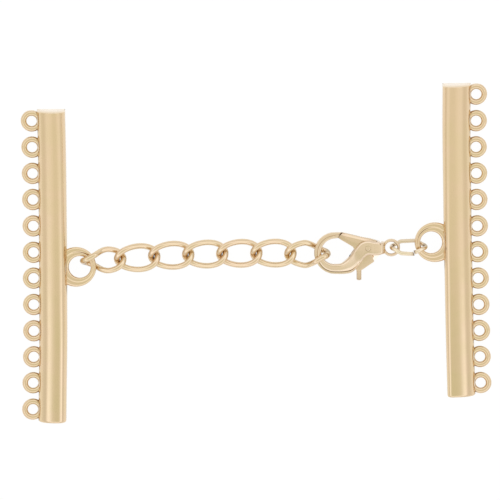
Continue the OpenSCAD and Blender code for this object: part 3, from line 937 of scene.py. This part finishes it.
# Table. A plain white sheet that glows evenly to the camera. The metal mirrors a second sheet just
# above it, which takes the pieces' soft shadows from a lamp on the far side.
table_half = 1.5
sheets = []
for name, height, tone, glow in (("table", -2e-5, 0.06, 0.96), ("mirrored_table", -1e-5, 0.3, 0.5)):
    mesh = bpy.data.meshes.new(name)
    corners = [(x * table_half, y * table_half, height) for x, y in ((-1, -1), (1, -1), (1, 1), (-1, 1))]
    mesh.from_pydata(corners, [], [(0, 1, 2, 3)])
    sheet = placed(name, mesh)
    white = bpy.data.materials.new(name + "_white")
    white.use_nodes = True
    mesh.materials.append(white)
    shader = white.node_tree.nodes["Principled BSDF"].inputs
    for label, value in (("Roughness", 0.9), ("Specular IOR Level", 0),
                         ("Base Color", (tone, tone, tone, 1)), ("Emission Color", (1, 1, 1, 1)),
                         ("Emission Strength", glow)):
        shader[label].default_value = value
    sheets.append(sheet)
table, mirrored = sheets
table.visible_glossy = False
mirrored.visible_camera = False
mirrored.visible_diffuse = False
lamp_data = bpy.data.lights.new("far_lamp", "SUN")
lamp_data.energy = 4.2
lamp_data.angle = math.radians(20)
lamp = placed("far_lamp", lamp_data)
lamp.rotation_euler = (math.radians(-40), 0, 0)
lamp.visible_glossy = False

# Studio. A round tent of white cloth that only the metal mirrors: dull right overhead, where the
# camera looks in, bright half way down and dim again near the table. The bright ring fades between its
# near and its far side, so the metal's contrast grows along the bars towards the near end.
tent_radius = 0.4
tent_strength = 1.6
# Between which places along Y the cloth turns from dull to lit: towards the near side, then towards the
# far side, and how fully there
tent_change = (-0.05, -0.09)
tent_far_change = (-0.01, 0.03)
tent_far_share = 0.85
# Angle from the zenith in degrees and the cloth's tone there, on the dull side and on the lit side
dull_tones = [(0, (0.98, 0.97, 0.90)), (15, (0.98, 0.97, 0.90)), (27, (1.05, 1.04, 0.99)),
              (40, (1.08, 1.075, 1.05)), (54, (1.07, 1.07, 1.05)), (62, (0.98, 0.97, 0.94)),
              (70, (0.92, 0.90, 0.86)), (80, (0.93, 0.92, 0.87)), (90, (1.0, 0.99, 0.97))]
lit_tones = [(0, (0.84, 0.86, 0.73)), (17, (0.85, 0.865, 0.74)), (27, (0.95, 0.96, 0.90)),
             (38, (1.18, 1.22, 1.27)), (47, (1.38, 1.42, 1.52)), (54, (1.36, 1.40, 1.52)),
             (62, (1.02, 1.01, 1.04)), (69, (0.84, 0.84, 0.84)), (78, (0.90, 0.90, 0.90)),
             (90, (1.0, 0.99, 1.0))]
shape = bmesh.new()
bmesh.ops.create_uvsphere(shape, u_segments=96, v_segments=48, radius=tent_radius)
bmesh.ops.delete(shape, geom=[v for v in shape.verts if v.co.z < -1e-4], context="VERTS")
bmesh.ops.reverse_faces(shape, faces=shape.faces)
tent_mesh = bpy.data.meshes.new("tent")
shape.to_mesh(tent_mesh)
shape.free()
tent = placed("tent", tent_mesh)
for kind_of_ray in ("camera", "diffuse", "transmission", "shadow"):
    setattr(tent, "visible_" + kind_of_ray, False)
tent_cloth = bpy.data.materials.new("tent_cloth")
tent_cloth.use_nodes = True
cloth = tent_cloth.node_tree
cloth.nodes.clear()
place = cloth.nodes.new("ShaderNodeTexCoord").outputs["Object"]
split = add_node(cloth, "ShaderNodeSeparateXYZ", vector=place).outputs
zenith_angle = calc(cloth, "ARCCOSINE", calc(cloth, "DIVIDE", split["Z"], tent_radius))
from_zenith = calc(cloth, "MULTIPLY", zenith_angle, 2 / math.pi)
ramps = []
for tones in (dull_tones, lit_tones):
    ramp = add_node(cloth, "ShaderNodeValToRGB", fac=from_zenith)
    for angle, tone in tones[1:-1]:
        ramp.color_ramp.elements.new(angle / 90)
    for element, (angle, tone) in zip(ramp.color_ramp.elements, tones):
        element.position = angle / 90
        element.color = (*(v / tent_strength for v in tone), 1)
    ramps.append(ramp.outputs["Color"])
lit = [ease_between(cloth, split["Y"], *tent_change, 0.0, 1.0),
       ease_between(cloth, split["Y"], *tent_far_change, 0.0, tent_far_share)]
blend = mixed_color(cloth, calc(cloth, "ADD", *lit), *ramps)
glow = add_node(cloth, "ShaderNodeEmission", color=blend, strength=tent_strength)
add_node(cloth, "ShaderNodeOutputMaterial", surface=glow.outputs[0])
tent_mesh.materials.append(tent_cloth)
world = bpy.data.worlds.new("studio")
bpy.context.scene.world = world
world.use_nodes = True
world.node_tree.nodes["Background"].inputs["Color"].default_value = (0.95, 0.95, 0.95, 1)
bpy.context.scene.view_settings.view_transform = "Standard"

# Camera. It stands nearly overhead, leaning to the far side of the piece, with the bars upright in
# the picture. The long lens keeps the bars parallel.
camera_lean = math.radians(9.5)
camera_distance = 1.6
picture_width = 75.15 * MM
sensor_width = 36
aim = Vector((-0.977, 0.429, 1.5)) * MM
camera_data = bpy.data.cameras.new("camera")
camera_data.sensor_width = sensor_width
camera_data.lens = sensor_width * camera_distance / picture_width
camera_data.clip_start = 0.05
camera_data.clip_end = 20
camera = placed("camera", camera_data)
back = Vector((0, math.sin(camera_lean), math.cos(camera_lean)))
up = Vector((0, math.cos(camera_lean), -math.sin(camera_lean)))
stand = aim + back * camera_distance
camera.matrix_world = Matrix(((1, up.x, back.x, stand.x), (0, up.y, back.y, stand.y),
                              (0, up.z, back.z, stand.z), (0, 0, 0, 1)))
bpy.context.scene.camera = camera
